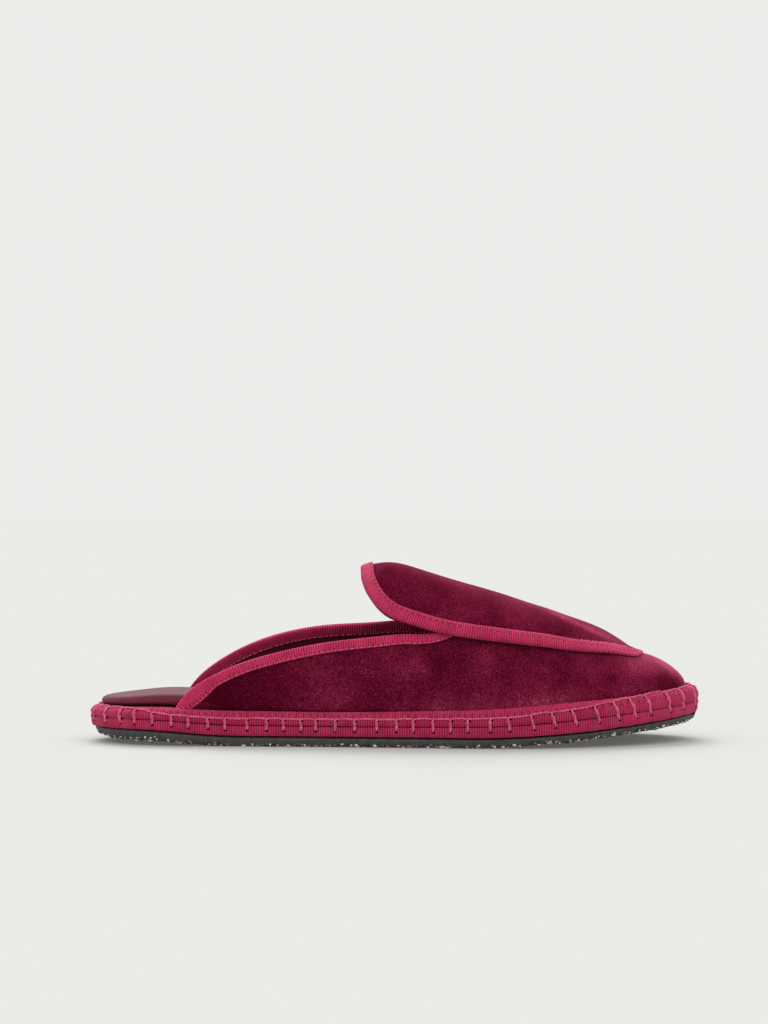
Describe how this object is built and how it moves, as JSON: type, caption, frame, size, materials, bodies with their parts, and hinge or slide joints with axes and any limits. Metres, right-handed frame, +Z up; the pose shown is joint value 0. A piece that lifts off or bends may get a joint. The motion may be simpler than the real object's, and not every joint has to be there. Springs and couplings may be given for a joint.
{
  "type": "velvet slipper",
  "caption": "Backless slipper with a hollow velvet upper, ribbon-bound collar, bound apron ending in a free tongue, padded footbed and thin rubber sole.",
  "frame": {"origin": "on the floor, under the middle of the shoe's box", "axes": "+X from heel to toe, +Z up, -Y to the outer side of the foot"},
  "size_m": [0.255, 0.0903, 0.0749],
  "materials": {
    "rubber": "matt, with coloured crumbs",
    "midsole_ribbon": "grosgrain ribbon over the core",
    "rim_ribbon": "grosgrain ribbon with blanket stitches",
    "velvet": "short pile",
    "binding_ribbon": "folded grosgrain ribbon",
    "apron_velvet": "short pile",
    "apron_ribbon": "folded grosgrain ribbon",
    "footbed": "smooth, slightly glossy"
  },
  "bodies": {
    "root": {"outsole": "rubber", "midsole": "midsole_ribbon", "rim": "rim_ribbon", "upper": "velvet", "topline_binding": "binding_ribbon", "apron": "apron_velvet", "apron_binding": "apron_ribbon", "insole": "footbed"}
  },
  "joints": []
}
